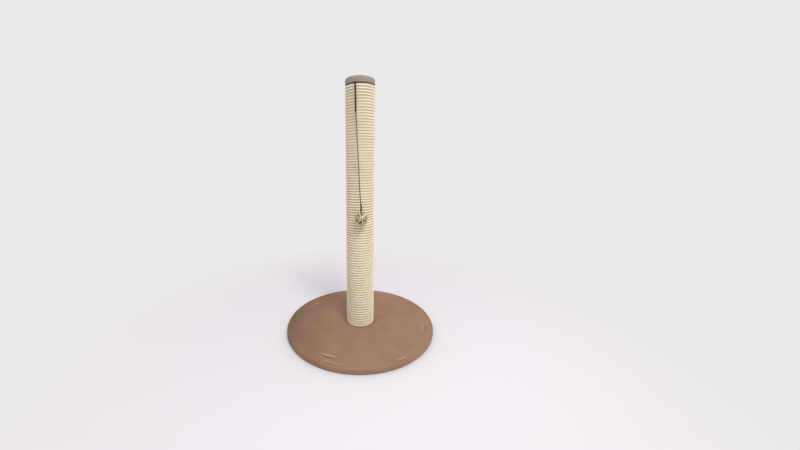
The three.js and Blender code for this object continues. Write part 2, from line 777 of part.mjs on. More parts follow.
// The bell lies in the bottom of the ball, with a loose pea inside it.
function addBell(group) {
  const middle = -(ballRadius - ballWall - seatGap - bellRadius);
  const round = (radius) => turned(arc([0, 0], radius, -90, 90, bellSides / 2), bellSides);
  const hollow = round(bellRadius - bellWall);
  const slot = block(
    [-bellSlotLength / 2, -bellSlotWidth / 2, -bellDiameter],
    [bellSlotLength / 2, bellSlotWidth / 2, 0],
  );
  const shell = cut(round(bellRadius), [hollow, slot]);
  addPiece("bell_shell", shell, brass, group).position.set(0, 0, middle);
  const pea = turned(arc([0, 0], bellPeaDiameter / 2, -90, 90, 6), smallSides);
  const peaDrop = bellRadius - bellWall - seatGap - bellPeaDiameter / 2;
  addPiece("bell_pea", pea, steel, group).position.set(0, 0, middle - peaDrop);
}

addBase();
addBolt();
addTubeAndPlugs();
addRope();
addCap();
addCordStaple();
addBight();
addBends();
addStrands();
addCord();
const hanging = hangingGroup();
addTie(hanging, tiedBarFrame());
addBall(hanging);
addBell(hanging);

export default post;
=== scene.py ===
# A cat scratching post: a round plush-covered base, a tube wound with sisal rope, a padded plush cap
# and an openwork ball on a knotted cord. Metres, +Z up, the post's axis on Z and the front facing -Y.
import math
import random

import bmesh
import bpy
from mathutils import Matrix, Vector, noise


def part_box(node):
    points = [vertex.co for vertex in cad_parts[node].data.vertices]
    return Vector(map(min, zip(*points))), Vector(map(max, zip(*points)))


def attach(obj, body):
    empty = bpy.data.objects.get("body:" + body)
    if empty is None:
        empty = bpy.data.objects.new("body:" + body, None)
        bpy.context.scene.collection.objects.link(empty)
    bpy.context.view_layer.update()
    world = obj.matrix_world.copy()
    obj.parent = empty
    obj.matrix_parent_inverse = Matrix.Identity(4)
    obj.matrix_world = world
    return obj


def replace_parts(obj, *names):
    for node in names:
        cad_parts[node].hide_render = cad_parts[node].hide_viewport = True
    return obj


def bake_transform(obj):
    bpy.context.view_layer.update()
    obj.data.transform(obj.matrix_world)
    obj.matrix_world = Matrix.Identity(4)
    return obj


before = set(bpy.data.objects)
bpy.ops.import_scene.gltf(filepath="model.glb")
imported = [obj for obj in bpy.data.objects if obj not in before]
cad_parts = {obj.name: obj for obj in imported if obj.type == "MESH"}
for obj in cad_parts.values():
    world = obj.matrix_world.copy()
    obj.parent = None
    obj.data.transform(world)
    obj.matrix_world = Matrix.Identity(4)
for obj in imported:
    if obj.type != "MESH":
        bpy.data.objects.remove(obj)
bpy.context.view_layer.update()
boxes = {name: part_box(name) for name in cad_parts}    # lowest and highest corner of each solid
mm = 0.001
fullTurn = 2 * math.pi
upZ = Vector((0, 0, 1))


def linearColour(text):
    # an sRGB hex value as Blender's linear colour
    channels = [int(text[i:i + 2], 16) / 255 for i in (1, 3, 5)]
    return [c / 12.92 if c <= 0.04045 else ((c + 0.055) / 1.055) ** 2.4 for c in channels] + [1]


def addNode(material, kind, inputs=None, **settings):
    # one node with its settings; each input is a value or another node's output
    node = material.node_tree.nodes.new("ShaderNode" + kind)
    for name, value in settings.items():
        setattr(node, name, value)
    for name, value in (inputs or {}).items():
        if isinstance(value, bpy.types.NodeSocket):
            material.node_tree.links.new(value, node.inputs[name])
        else:
            node.inputs[name].default_value = value
    return node


def colourRamp(material, factor, stops, interpolation="LINEAR"):
    ramp = addNode(material, "ValToRGB", {"Fac": factor})
    elements = ramp.color_ramp.elements
    ramp.color_ramp.interpolation = interpolation
    while len(elements) < len(stops):
        elements.new(0.5)
    for element, (position, colour) in zip(elements, stops):
        element.position = position
        element.color = linearColour(colour)
    return ramp.outputs["Color"]


def calculated(material, operation, *values):
    return addNode(material, "Math", dict(enumerate(values)), operation=operation).outputs[0]


def multiplied(material, colour, tone, share=1.0):
    mix = addNode(material, "Mix", {0: share, 6: colour, 7: tone}, data_type="RGBA", blend_type="MULTIPLY")
    return mix.outputs[2]


def objectPlace(material):
    return addNode(material, "TexCoord").outputs["Object"]


def clouds(material, place, size, detail, **more):
    # noise whose patches are about this size
    inputs = {"Vector": place, "Scale": 1 / size, "Detail": detail, **more}
    return addNode(material, "TexNoise", inputs).outputs["Fac"]


def newMaterial(name):
    material = bpy.data.materials.new(name)
    material.use_nodes = True
    return material


def shaderOf(material):
    return material.node_tree.nodes["Principled BSDF"]


def shade(material, colour, bump=None, bumpDistance=0.0, bumpStrength=1.0, **values):
    # links the colour and the bump to the shader and sets its plain values
    shader, links = shaderOf(material), material.node_tree.links
    if isinstance(colour, str):
        shader.inputs["Base Color"].default_value = linearColour(colour)
    else:
        links.new(colour, shader.inputs["Base Color"])
    if bump is not None:
        inputs = {"Height": bump, "Distance": bumpDistance, "Strength": bumpStrength}
        links.new(addNode(material, "Bump", inputs).outputs["Normal"], shader.inputs["Normal"])
    for name, value in values.items():
        shader.inputs[name.replace("_", " ")].default_value = value
    return material


def mottled(name, size, detail, stops, bumpDistance, bumpStrength, texture=None, **values):
    # a finish whose colour and relief both follow one cloudy texture
    material = newMaterial(name)
    cloud = clouds(material, objectPlace(material), size, detail, **(texture or {}))
    return shade(material, colourRamp(material, cloud, stops), cloud, bumpDistance, bumpStrength, **values)


def addObject(name, data):
    item = bpy.data.objects.new(name, data)
    bpy.context.scene.collection.objects.link(item)
    return item


def objectFrom(name, bm, material=None, smooth=True):
    # an object with the bmesh's shape, which uses it up
    mesh = bpy.data.meshes.new(name)
    bm.to_mesh(mesh)
    bm.free()
    piece = addObject(name, mesh)
    if material:
        mesh.materials.append(material)
    if smooth:
        mesh.shade_smooth()
    return piece


def evaluatedMesh(source):
    graph = bpy.context.evaluated_depsgraph_get()
    return bpy.data.meshes.new_from_object(source.evaluated_get(graph), depsgraph=graph)


def curveSurface(source, *helpers):
    # a bmesh of what a curve object shows; that object and its helpers are removed
    bm = bmesh.new()
    bm.from_mesh(evaluatedMesh(source))
    bmesh.ops.remove_doubles(bm, verts=bm.verts, dist=1e-7)
    bmesh.ops.recalc_face_normals(bm, faces=bm.faces)
    for spare in (source, *helpers):
        bpy.data.objects.remove(spare)
    return bm


def modify(piece, kind, **settings):
    modifier = piece.modifiers.new(kind.lower(), kind)
    for name, value in settings.items():
        setattr(modifier, name, value)


def applyModifiers(piece):
    # swaps the piece's mesh for the one that its modifiers make
    mesh = evaluatedMesh(piece)
    materials = list(piece.data.materials)
    piece.modifiers.clear()
    piece.data = mesh
    # the slots are refilled one by one, because clearing them would lose which face has which
    for i, material in enumerate(materials):
        if i < len(mesh.materials):
            mesh.materials[i] = material
        else:
            mesh.materials.append(material)
    mesh.shade_smooth()


def spun(outline, steps, close=False):
    # a bmesh turned about Z from points (radius, height); points on the axis close it
    bm = bmesh.new()
    verts = [bm.verts.new((radius, 0, height)) for radius, height in outline]
    edges = [bm.edges.new(pair) for pair in zip(verts, verts[1:])]
    if close:
        edges.append(bm.edges.new((verts[-1], verts[0])))
    bmesh.ops.spin(bm, geom=verts + edges, cent=(0, 0, 0), axis=(0, 0, 1), dvec=(0, 0, 0),
                   angle=fullTurn, steps=steps, use_merge=True)
    bmesh.ops.remove_doubles(bm, verts=bm.verts, dist=1e-6)
    bmesh.ops.recalc_face_normals(bm, faces=bm.faces)
    return bm


def arcPoints(centre, radius, start, end, steps):
    angles = [math.radians(start + (end - start) * i / steps) for i in range(steps + 1)]
    return [(centre[0] + radius * math.cos(a), centre[1] + radius * math.sin(a)) for a in angles]


def smoothStep(low, high, value):
    t = min(1.0, max(0.0, (value - low) / (high - low)))
    return t * t * (3 - 2 * t)


def smoothRoute(points):
    # close points along a Catmull-Rom curve through the given ones
    ends = [points[0] * 2 - points[1], *points, points[-1] * 2 - points[-2]]
    fine = []
    for a, b, c, d in zip(ends, ends[1:], ends[2:], ends[3:]):
        count = max(2, math.ceil((c - b).length / cord["step"]))
        for i in range(count):
            t = i / count
            fine.append(0.5 * (2 * b + (c - a) * t + (2 * a - 5 * b + 4 * c - d) * t * t
                               + (3 * b - a - 3 * c + d) * t ** 3))
    return fine + [points[-1].copy()]


def tubeCurve(name, radius, resolution):
    # a curve whose splines become round tubes
    curve = bpy.data.curves.new(name, "CURVE")
    curve.dimensions = "3D"
    curve.bevel_depth = radius
    curve.bevel_resolution = resolution
    curve.use_fill_caps = True
    return curve


def laidCord(name, route, material, closed=False, phase=0.0):
    # a cord of twisted strands along a route: a lobed outline that turns as it goes
    laid = cord["laid"]
    outline = bpy.data.curves.new(name + "Outline", "CURVE")
    outline.dimensions = "2D"
    ring = outline.splines.new("POLY")
    ring.points.add(laid["sides"] - 1)
    ring.use_cyclic_u = True
    lobe = fullTurn / laid["strands"]
    offset, size = laid["radius"] * laid["spread"], laid["radius"] * (1 - laid["spread"])
    for i, point in enumerate(ring.points):
        angle = fullTurn * i / laid["sides"]
        away = (angle + lobe / 2) % lobe - lobe / 2
        reach = offset * math.cos(away) + math.sqrt(size ** 2 - (offset * math.sin(away)) ** 2)
        point.co = (reach * math.cos(angle), reach * math.sin(angle), 0, 1)

    line = bpy.data.curves.new(name + "Line", "CURVE")
    line.dimensions = "3D"
    line.bevel_mode = "OBJECT"
    line.bevel_object = addObject(name + "Outline", outline)
    line.use_fill_caps = not closed
    spline = line.splines.new("POLY")
    spline.points.add(len(route) - 1)
    spline.use_cyclic_u = closed
    along = phase
    for i, (point, place) in enumerate(zip(spline.points, route)):
        if i:
            along += (place - route[i - 1]).length
        point.co = (*place, 1)
        point.tilt = fullTurn * along / laid["lay"]
        point.radius = 1
    return objectFrom(name, curveSurface(addObject(name + "Line", line), line.bevel_object), material)


def dress(material, *names):
    # gives CAD nodes that stay as they are their finish
    for name in names:
        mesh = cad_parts[name].data
        mesh.materials.clear()
        mesh.materials.append(material)


# The camera stands low and close, as the photograph's did.
camera = {
    "place": (0.0040, -0.7531, 0.4489),
    "pitchDown": 9.454,  # degrees below the horizon
    "lens": 12.983,
    "sensor": 36,
    "shift": (0.0479, -0.0161),
    "clip": (0.01, 100),
}


def addCamera():
    data = bpy.data.cameras.new("camera")
    data.lens = camera["lens"]
    data.sensor_width = camera["sensor"]
    data.shift_x, data.shift_y = camera["shift"]
    data.clip_start, data.clip_end = camera["clip"]
    item = addObject("camera", data)
    item.location = camera["place"]
    item.rotation_euler = (math.radians(90 - camera["pitchDown"]), 0, 0)
    bpy.context.scene.camera = item
    print("camera placed")


# The cord is dark brown and laid, and doubled from the cap's edge to the upper knot.
cord = {
    "diameter": 1.8 * mm,
    "laid": {"radius": 1.08 * mm, "strands": 3, "spread": 0.42, "lay": 5.5 * mm, "sides": 12},
    "step": 0.7 * mm,            # between the points of its routes
    # right of the axis, out from the front of the rope, down from the cap
    "route": [(-11.0, 2.4, 4.4), (-10.8, 3.1, 19), (-10.5, 3.8, 36), (-10.2, 4.5, 51), (-9.9, 5.2, 66),
              (-9.1, 5.8, 80), (-8.2, 6.6, 98), (-7.4, 7.4, 116), (-6.5, 8.2, 134), (-5.7, 9.0, 152),
              (-4.8, 9.8, 170), (-3.9, 10.6, 188), (-3.0, 11.4, 206), (-2.1, 12.3, 224),
              (-1.2, 13.1, 242), (-0.3, 13.9, 260), (0.6, 14.5, 274), (1.2, 15.0, 285)],
    "doubledSteps": 4,
    "spreadAtCap": 1.77 * mm,    # half the distance between the two strands
    "spreadAtKnot": 0.95 * mm,
    # the bend over the rope's top turn: forward of the bend's back, down from the cord under the cap
    "bend": [(-0.3, 0), (0.6, 0.15), (1.1, 0.75)],
    "knotHeight": 5 * mm,
    "knotWrap": 1.75 * mm,       # radius of the wraps' middle line
    "knotTurns": 2.2,
    "knotLean": 0.35,
    "ballHang": 38.2 * mm,       # from the ball's middle up to the route's last point
    "loopRadius": 3.0 * mm,
}


def cordMaterial():
    # spun polyester cord, laid from three plies: dark and dull
    return mottled("spunPolyesterCord", mm / 0.9, 4, [(0.3, "#2A1B08"), (0.55, "#432F12"), (0.8, "#644B22")],
                   0.15 * mm, 0.8, Roughness=0.85, Sheen_Weight=0.05, Specular_IOR_Level=0.1)


def routePoints():
    # the listed route in the shared frame
    front = boxes["sisal_rope"][0].y
    cap = boxes["cap_plush"][0].z
    return [Vector((right * mm, front - out * mm, cap - drop * mm)) for right, out, drop in cord["route"]]


def knotRoute():
    # tight wraps about the origin, leaning, with their ends tucked in
    steps, tuckAt, tuckDepth = 40, 0.12, 0.75
    route = []
    for i in range(steps + 1):
        t = i / steps
        angle = fullTurn * cord["knotTurns"] * t
        reach = cord["knotWrap"] * (1 - tuckDepth * (smoothStep(tuckAt, 0, t) + smoothStep(1 - tuckAt, 1, t)))
        x, y = reach * math.cos(angle), reach * math.sin(angle)
        z = (t - 0.5) * (cord["knotHeight"] - cord["diameter"]) + cord["knotLean"] * x
        route.append(Vector((x, y, z)))
    return route


def addCord():
    material = cordMaterial()
    points = routePoints()
    doubled, single = points[:cord["doubledSteps"] + 1], points[cord["doubledSteps"]:]
    knot = single[0]
    exitTop = boxes["cord_bight"][1].z - cord["diameter"] / 2
    exitBack = boxes["cord_bend_left"][1].y
    stapleLeg = Vector((points[0].x, boxes["cord_staple"][0].y, exitTop))
    upperKnot = laidCord("upperKnot", [knot + point for point in knotRoute()], material)
    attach(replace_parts(upperKnot, "upper_knot"), "toy")

    for side, name in ((-1, "Left"), (1, "Right")):
        x = points[0].x + side * cord["spreadAtKnot"]
        # under the cap: half of the hairpin round the staple's leg, out to the middle of the bend
        hairpin = [stapleLeg + Vector((side * cord["spreadAtCap"] * math.sin(a), cord["spreadAtCap"] * math.cos(a), 0))
                   for a in map(math.radians, (0, 30, 60, 90))]
        bend = [Vector((x, exitBack - out * mm, exitTop - down * mm)) for out, down in cord["bend"]]
        bight = laidCord("cordUnderCap" + name, smoothRoute([*hairpin, *bend]), material)
        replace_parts(bight, "cord_bight", "cord_bend_left" if side < 0 else "cord_bend_right")
        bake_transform(bight)

        # from the middle of the bend down into the knot
        strand = [point + Vector((side * cord["spreadAtKnot"], 0, 0)) for point in doubled]
        drop = smoothRoute([*bend[1:], *strand])[2:]
        hanging = laidCord("cordStrand" + name, drop, material)
        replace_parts(hanging, "cord_strand_left" if side < 0 else "cord_strand_right")
        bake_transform(hanging)

    path = smoothRoute(single)
    long = laidCord("cordSingle", path, material)
    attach(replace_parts(long, "toy_cord"), "toy")
    return material


# The rope is three-ply sisal, wound round the tube in one unbroken length.
rope = {
    "turns": 92,
    "outer": 37.5 * mm,          # over the rope, from the post's axis
    "radius": 3.45 * mm,
    "cadRadius": 3 * mm,         # of the plain strand that it is in the CAD
    "strandRadius": 1.74 * mm,   # the three strands press into each other
    "lay": 18.5 * mm,
    "rise": 6.7 * mm,            # from one turn to the next
    "stepsPerTurn": 104,
    "pieces": 4,                 # the winding is split so that no mesh is too large
    "outOfRound": 0.2 * mm,
    "wander": 0.1 * mm,          # how far a turn strays up or down
    "flatTurns": 14,
    "stepFrom": 0.78,            # the share of a flat turn after which it steps up
    "pressedUp": 0.32,
    "endLength": 6 * mm,
    "paintedShadeDepth": (3.2 * mm, 0.6 * mm),    # below the rope's outside, where its painted shade is darkest and palest
}
ropeLow = boxes["sisal_rope"][0].z + rope["cadRadius"]
ropeHigh = boxes["sisal_rope"][1].z - rope["cadRadius"]


def ropePlace(turn):
    # the rope's middle after so many turns from its foot at the back of the post, and the way out from the post
    turns, flat = rope["turns"], rope["flatTurns"]
    wound = min(max(turn, 0), turns)
    angle = math.pi / 2 + wound * fullTurn
    out = Vector((math.cos(angle), math.sin(angle), 0))
    where = Vector((1.5 * out.x, 1.5 * out.y, 0.5 * wound))
    radius = rope["outer"] - rope["radius"] + rope["outOfRound"] * noise.noise(where)
    settle = min(1, wound, turns - wound)
    wander = rope["wander"] * settle * noise.noise(where + Vector((7, 3, 5)))
    # the first turns lie flat and step up at the back, and the step fades into an even climb
    stepped = math.floor(wound) + smoothStep(rope["stepFrom"], 1, wound % 1)
    even = wound + (stepped - wound) * max(0, 1 - wound / flat)
    # the last ones are pressed up against the cap, but leave room for the cord
    left = turns - wound
    climb = left - math.floor(left) - smoothStep(rope["stepFrom"], 1, left % 1)
    even += rope["pressedUp"] * climb * max(0, 1 - left / flat)
    middle = out * radius + upZ * (ropeLow + (ropeHigh - ropeLow) * even / turns + wander)
    # past its first and last turn the rope lies straight
    return middle + upZ.cross(out) * (turn - wound) * fullTurn * radius, out


def ropeLength(turns):
    return turns * math.hypot(fullTurn * (rope["outer"] - rope["radius"]), rope["rise"])


def sisalMaterial():
    # natural sisal, twisted from coarse leaf fibre: dry and pale, with painted shade down between strands and turns
    fibreWidth, fibreRun, fibreLean, patch = 0.32 * mm, 10 * mm, 34 * mm, 26 * mm
    length = ropeLength(rope["turns"] / rope["pieces"])
    material = newMaterial("naturalSisalRope")
    uv = addNode(material, "UVMap", uv_map="UVMap").outputs["UV"]
    x, y, _ = addNode(material, "SeparateXYZ", {"Vector": uv}).outputs
    # the place along a strand and round it, squeezed so that the noise makes long fibres
    along = calculated(material, "MULTIPLY", x, length / fibreRun)
    lean = calculated(material, "MULTIPLY", x, length / fibreLean)
    angle = calculated(material, "MULTIPLY", calculated(material, "ADD", y, lean), fullTurn)
    across = [calculated(material, "MULTIPLY", calculated(material, kind, angle), rope["strandRadius"] / fibreWidth)
              for kind in ("COSINE", "SINE")]
    place = addNode(material, "CombineXYZ", {"X": along, "Y": across[0], "Z": across[1]}).outputs["Vector"]
    streak = clouds(material, place, 1, 4, Roughness=0.6)
    broad = clouds(material, objectPlace(material), patch, 3)
    paintedGrooveLight = addNode(material, "Attribute", attribute_name="paintedGrooveLight").outputs["Fac"]
    fibre = colourRamp(material, streak, [(0.3, "#D0C5A6"), (0.45, "#EBE4D0"), (0.6, "#F6F1E4"), (0.8, "#FCFAF2")])
    tint = colourRamp(material, broad, [(0.3, "#F5EEDC"), (0.7, "#FFFDF8")])
    # painted shade: the tone darkens down between strands and turns, where the attribute is low
    depth = colourRamp(material, paintedGrooveLight, [(0.0, "#6F5B38"), (0.3, "#B4A078"), (0.55, "#F1E8D4"), (0.72, "#FFFFFF")])
    colour = multiplied(material, multiplied(material, fibre, tint, 0.8), depth)
    return shade(material, colour, streak, 0.35 * mm, 0.8, Roughness=0.9, Specular_IOR_Level=0.25)


# Loose ends of fibre stand off the rope.
fibres = {
    "count": 3600,
    "length": (4 * mm, 11 * mm),
    "radius": 0.075 * mm,
    "steps": 3,
    "tilt": 1.1,                 # radians up or down from straight out, where one leaves the rope
    "lift": (0.05, 0.45),        # how steeply it stands off
    "side": 0.5,
    "root": 0.93,                # where it starts, as a share of the rope's radius
    "taper": 0.25,
    "curl": 0.25,
    "settle": 0.06,              # how it turns back towards the post
    "clearOfBall": 0.75,         # diameters of the ball round its middle, where there are none
}


def sisalFibres(material):
    dice = random.Random(11)
    ballMiddle = hangingFrame().translation
    curve = tubeCurve("sisalFibres", fibres["radius"], 0)
    for _ in range(fibres["count"]):
        middle, out = ropePlace(dice.uniform(0.05, rope["turns"] - 0.05))
        along = Vector((-out.y, out.x, 0)) * dice.choice((-1, 1))
        tilt = dice.uniform(-fibres["tilt"], fibres["tilt"])
        normal = out * math.cos(tilt) + upZ * math.sin(tilt)
        length = dice.uniform(*fibres["length"])
        lift = dice.uniform(*fibres["lift"])
        side = normal.cross(along) * dice.uniform(-fibres["side"], fibres["side"])
        way = (along + normal * lift + side).normalized()
        point = middle + normal * rope["radius"] * fibres["root"]
        if (point - ballMiddle).length < ball["diameter"] * fibres["clearOfBall"]:
            continue
        spline = curve.splines.new("POLY")
        spline.points.add(fibres["steps"])
        for i, place in enumerate(spline.points):
            place.co = (*point, 1)
            place.radius = 1 - fibres["taper"] * i
            curl = Vector([dice.uniform(-1, 1) for _ in range(3)]) * fibres["curl"]
            way = (way + curl - out * fibres["settle"] * i).normalized()
            point = point + way * length / fibres["steps"]
    bm = curveSurface(addObject("sisalFibres", curve))
    paintedGrooveLight = bm.verts.layers.float.new("paintedGrooveLight")
    # the loose fibre ends take no painted shade
    for vert in bm.verts:
        vert[paintedGrooveLight] = 1
    return objectFrom("sisalFibreEnds", bm, material)


def windStrands(name, first, last, material):
    # the rope's three strands between two counts of turns, each a round tube
    curve = tubeCurve(name, rope["strandRadius"], 2)
    steps = round((last - first) * rope["stepsPerTurn"])
    reach = rope["radius"] - rope["strandRadius"]
    for strand in range(3):
        spline = curve.splines.new("POLY")
        spline.points.add(steps)
        for i, point in enumerate(spline.points):
            turn = first + (last - first) * i / steps
            middle, out = ropePlace(turn)
            twist = fullTurn * (ropeLength(turn) / rope["lay"] + strand / 3)
            point.co = (*(middle + (out * math.cos(twist) + upZ * math.sin(twist)) * reach), 1)
    bm = curveSurface(addObject(name, curve))
    # painted shade: 1 on the outer crests of the strands, 0 down between strands and turns, where the rope's tone is
    # painted darkest
    paintedGrooveLight = bm.verts.layers.float.new("paintedGrooveLight")
    dark, pale = rope["paintedShadeDepth"]
    for vert in bm.verts:
        outward = math.hypot(vert.co.x, vert.co.y)
        part = (math.atan2(vert.co.y, vert.co.x) / fullTurn - 0.25) % 1
        level = (vert.co.z - ropeLow) / (ropeHigh - ropeLow) * rope["turns"] - part
        middles = [ropePlace(part + max(0, round(level) + i))[0] for i in (0, 1 if level > round(level) else -1)]
        fromMiddle = min((vert.co - middle).length for middle in middles)
        vert[paintedGrooveLight] = (0.5 * smoothStep(0.6, 1, fromMiddle / rope["radius"])
                       + 0.5 * smoothStep(rope["outer"] - dark, rope["outer"] - pale, outward))
    return objectFrom(name, bm, material)


def addRope():
    material = sisalMaterial()
    extra = rope["endLength"] / ropeLength(1)
    for part in range(rope["pieces"]):
        first, last = (rope["turns"] * (part + i) / rope["pieces"] for i in (0, 1))
        first -= extra if part == 0 else 0
        last += extra if part == rope["pieces"] - 1 else 0
        piece = windStrands(f"sisalWinding{part + 1}", first, last, material)
        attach(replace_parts(piece, "sisal_rope"), "post")
    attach(sisalFibres(material), "post")
    print("rope wound:", rope["turns"], "turns,", round(ropeLength(rope["turns"]), 1), "m")


# A domed tack holds each end of the rope at the back of the post.
tack = {"dome": 1.1 * mm, "pin": 0.7 * mm, "point": 2 * mm, "rim": 0.2 * mm}


def addTacks():
    material = steelMaterial("zincPlatedTack")
    pin, rim = tack["pin"], tack["rim"]
    for node in ("rope_tack_bottom", "rope_tack_top"):
        low, high = boxes[node]
        middle, radius = (low + high) / 2, (high.x - low.x) / 2
        face = high.y - tack["dome"]
        tip = low.y - face
        dome = [(radius * math.cos(a), tack["dome"] * math.sin(a)) for a in map(math.radians, range(0, 90, 15))]
        bm = spun([(0, tip), (pin, tip + tack["point"]), (pin, -rim), (radius * 0.9, -rim), *dome,
                   (0, tack["dome"])], 32)
        turn = Matrix.Translation((middle.x, face, middle.z)) @ Matrix.Rotation(-math.pi / 2, 4, "X")
        bmesh.ops.transform(bm, matrix=turn, verts=bm.verts)
        piece = objectFrom(node.replace("rope_tack", "domedTack").replace("_", ""), bm, material)
        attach(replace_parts(piece, node), "post")
    print("tacks set")


# The base is a round board with short brown plush drawn over it and folded under.
base = {
    "pile": 0.7 * mm,            # how far the free pile stands above where the post presses it
    "collar": 0.6 * mm,          # pushed up round the foot of the post
    "boltHole": 4.5 * mm,
    "hem": 22 * mm,              # folded under the board
    "topEdge": 3.8 * mm,
    "lowerEdge": 3.2 * mm,
    "steps": 360,
    "unevenness": [(0.35 * mm, 48 * mm), (0.12 * mm, 9 * mm)],    # height and length of the swells on top
    "sideSwell": (0.25 * mm, 22 * mm),
    "settled": (40 * mm, 70 * mm),    # from the axis: flat up to the first, free beyond the second
    # small folds in the plush near the rim: place x and y, direction (degrees), length, width, height (mm)
    "folds": [(-73, -154, -21, 42, 6, 1.7), (-70, -176, -20, 30, 5, 1.4), (-88, -160, -28, 26, 4, 0.9),
              (-48, -183, -14, 24, 5, 0.9), (94, -165, 30, 24, 6, 1.2), (112, -157, 36, 20, 5, 0.7),
              (167, -40, 80, 34, 9, 1.0), (176, -70, 66, 26, 7, 0.8), (150, 108, -52, 34, 7, 0.6),
              (60, 176, -18, 30, 6, 0.6), (-112, 150, 36, 34, 7, 0.6), (-182, 30, 82, 30, 7, 0.5)],
    # painted shade darker and greyer towards the left, a painted highlight on a fold's ridge, and painted shade beside
    # it and on the side
    "paintedLightMarks": [
        ("across", -0.2, -0.06, [(0.0, "#BEC6BC"), (0.45, "#E6E2DC"), (1.0, "#FFFFFF")]),
        ("fold", -1.2 * mm, 1.2 * mm, [(0.0, "#9C9894"), (0.42, "#DADADA"), (0.58, "#DADADA"), (1.0, "#FFFFFF")]),
    ],
    "paintedSideShade": -0.35 * mm,      # painted shade on the side, given as the fold value of the hollow beside a fold
    "pleats": 84,                # under the board
    "pleatDepth": 0.35 * mm,
}


def plushMaterial(name, deep, middle, light, sheen, paintedLightMarks=()):
    # knitted polyester with a short brushed pile: dull, soft at grazing angles, patchy where it is stroked
    tuft, stroke = 0.9 * mm, 55 * mm
    material = newMaterial(name)
    place = objectPlace(material)
    fine = clouds(material, place, tuft, 5, Roughness=0.7)
    broad = clouds(material, place, stroke, 3, Distortion=0.6)
    pile = colourRamp(material, fine, [(0.3, deep), (0.5, middle), (0.72, light)])
    lie = colourRamp(material, broad, [(0.3, "#EFEDEA"), (0.7, "#FFFFFF")])
    colour = multiplied(material, pile, lie)
    # each mark is a ramp of painted light over metres: painted shade across the base, painted highlight and shade up a
    # fold
    for source, low, high, stops in paintedLightMarks:
        if source == "fold":
            value = addNode(material, "Attribute", attribute_name="fold").outputs["Fac"]
        else:
            value = addNode(material, "SeparateXYZ", {"Vector": place}).outputs["X"]
        share = addNode(material, "MapRange", {"Value": value, "From Min": low, "From Max": high})
        colour = multiplied(material, colour, colourRamp(material, share.outputs["Result"], stops, "EASE"))
    return shade(material, colour, fine, 0.5 * mm, 0.7, Roughness=1.0, Sheen_Weight=0.35, Sheen_Roughness=0.5,
                 Sheen_Tint=linearColour(sheen), Specular_IOR_Level=0.15)


def foldHeight(place):
    # how much the folds lift a point of the base's top: each is a ridge with a hollow beside it
    lift = 0
    for x, y, direction, length, width, height in base["folds"]:
        angle = math.radians(direction)
        run = Vector((math.cos(angle), math.sin(angle)))
        offset = Vector((place.x - x * mm, place.y - y * mm))
        along = offset.dot(run) / (length * mm / 2)
        across = offset.cross(run) / (width * mm / 2)
        if abs(along) < 3 and abs(across) < 4:
            ridge = math.exp(-across ** 2) - 0.7 * math.exp(-((across - 1.5) ** 2))
            lift += height * mm * math.exp(-along ** 4) * ridge
    return lift


def baseOutline():
    low, high = boxes["base_plush"]
    board = boxes["base_board"]
    rim, bottom, pressed = high.x, low.z, high.z
    top = pressed + base["pile"]
    foot = boxes["sisal_rope"][1].x
    hole, hemInner = base["boltHole"], board[1].x - base["hem"]
    inner = board[1].x + 0.3 * mm
    edge, under = base["topEdge"], base["lowerEdge"]
    outline = [(hole, pressed), (foot - 8 * mm, pressed), (foot - 1.2 * mm, pressed)]
    # out from the post, in mm: pressed beside it, pushed up in a collar, then free
    for reach in (0.2, 0.9, 1.4, 2.0, 2.6, 3.4, 4.8, 6.8, 9.5, 13, 17, 22):
        raised = base["collar"] * smoothStep(0.8, 3.4, reach) * math.exp(-((reach / 9) ** 2))
        free = base["pile"] * smoothStep(0.8, 2.6, reach)
        outline.append((foot + reach * mm, pressed + free + raised))
    count = 72
    start, end = foot + 25 * mm, rim - edge - 1.5 * mm
    outline += [(start + (end - start) * i / count, top) for i in range(count + 1)]
    outline += list(reversed(arcPoints((rim - edge, top - edge), edge, 0, 90, 8)))
    outline += [(rim, top - edge - (top - edge - bottom - under) * i / 3) for i in (1, 2)]
    outline += arcPoints((rim - under, bottom + under), under, 0, -90, 6)
    outline += [(rim - under - (rim - under - hemInner) * i / 12, bottom) for i in range(1, 13)]
    outline += [(hemInner - 0.4 * mm, bottom + 0.7 * mm), (hemInner, board[0].z)]
    outline += [(inner - 1 * mm, board[0].z), (inner, board[0].z + 1 * mm), (inner, board[1].z), (hole, board[1].z)]
    return outline


def addBaseCover():
    material = plushMaterial("shortBrownPlush", "#987660", "#B48D74", "#C7A389", "#C4AE9C", base["paintedLightMarks"])
    low, high = boxes["base_plush"]
    boardRim, boardTop = boxes["base_board"][1].x, boxes["base_board"][1].z
    sideHeight, sideLength = base["sideSwell"]
    bm = spun(baseOutline(), base["steps"], close=True)
    # the fold value also carries the painted highlight and shade that the tone ramps give the plush
    fold = bm.verts.layers.float.new("fold")
    for vert in bm.verts:
        place, radius = vert.co.copy(), math.hypot(vert.co.x, vert.co.y)
        onTop = place.z > max(high.z - 4 * mm, boardTop + 0.5 * mm) and radius > 36 * mm
        onSide = place.z > low.z + 1 * mm and radius > high.x - 1 * mm
        onHem = place.z < low.z + 0.9 * mm and radius < high.x - 3 * mm
        if onTop:
            soft = sum(height * noise.noise(place / length) for height, length in base["unevenness"])
            vert[fold] = foldHeight(place)
            vert.co.z += (soft + vert[fold]) * smoothStep(*base["settled"], radius)
        if onSide:
            soft = sideHeight * noise.noise(place / sideLength) - sideHeight
            # painted shade on the side, through the fold tone ramp
            vert[fold] = base["paintedSideShade"]
            vert.co.x += place.x / radius * soft
            vert.co.y += place.y / radius * soft
        if onHem:
            inward = smoothStep(high.x, boardRim - base["hem"], radius)
            stray = 2 * noise.noise(place / (40 * mm))
            pleat = 0.9 + math.cos(math.atan2(place.y, place.x) * base["pleats"] + stray)
            vert.co.z += base["pleatDepth"] * inward * pleat
    cover = objectFrom("basePlushCover", bm, material)
    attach(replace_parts(cover, "base_plush"), "post")
    print("base covered")


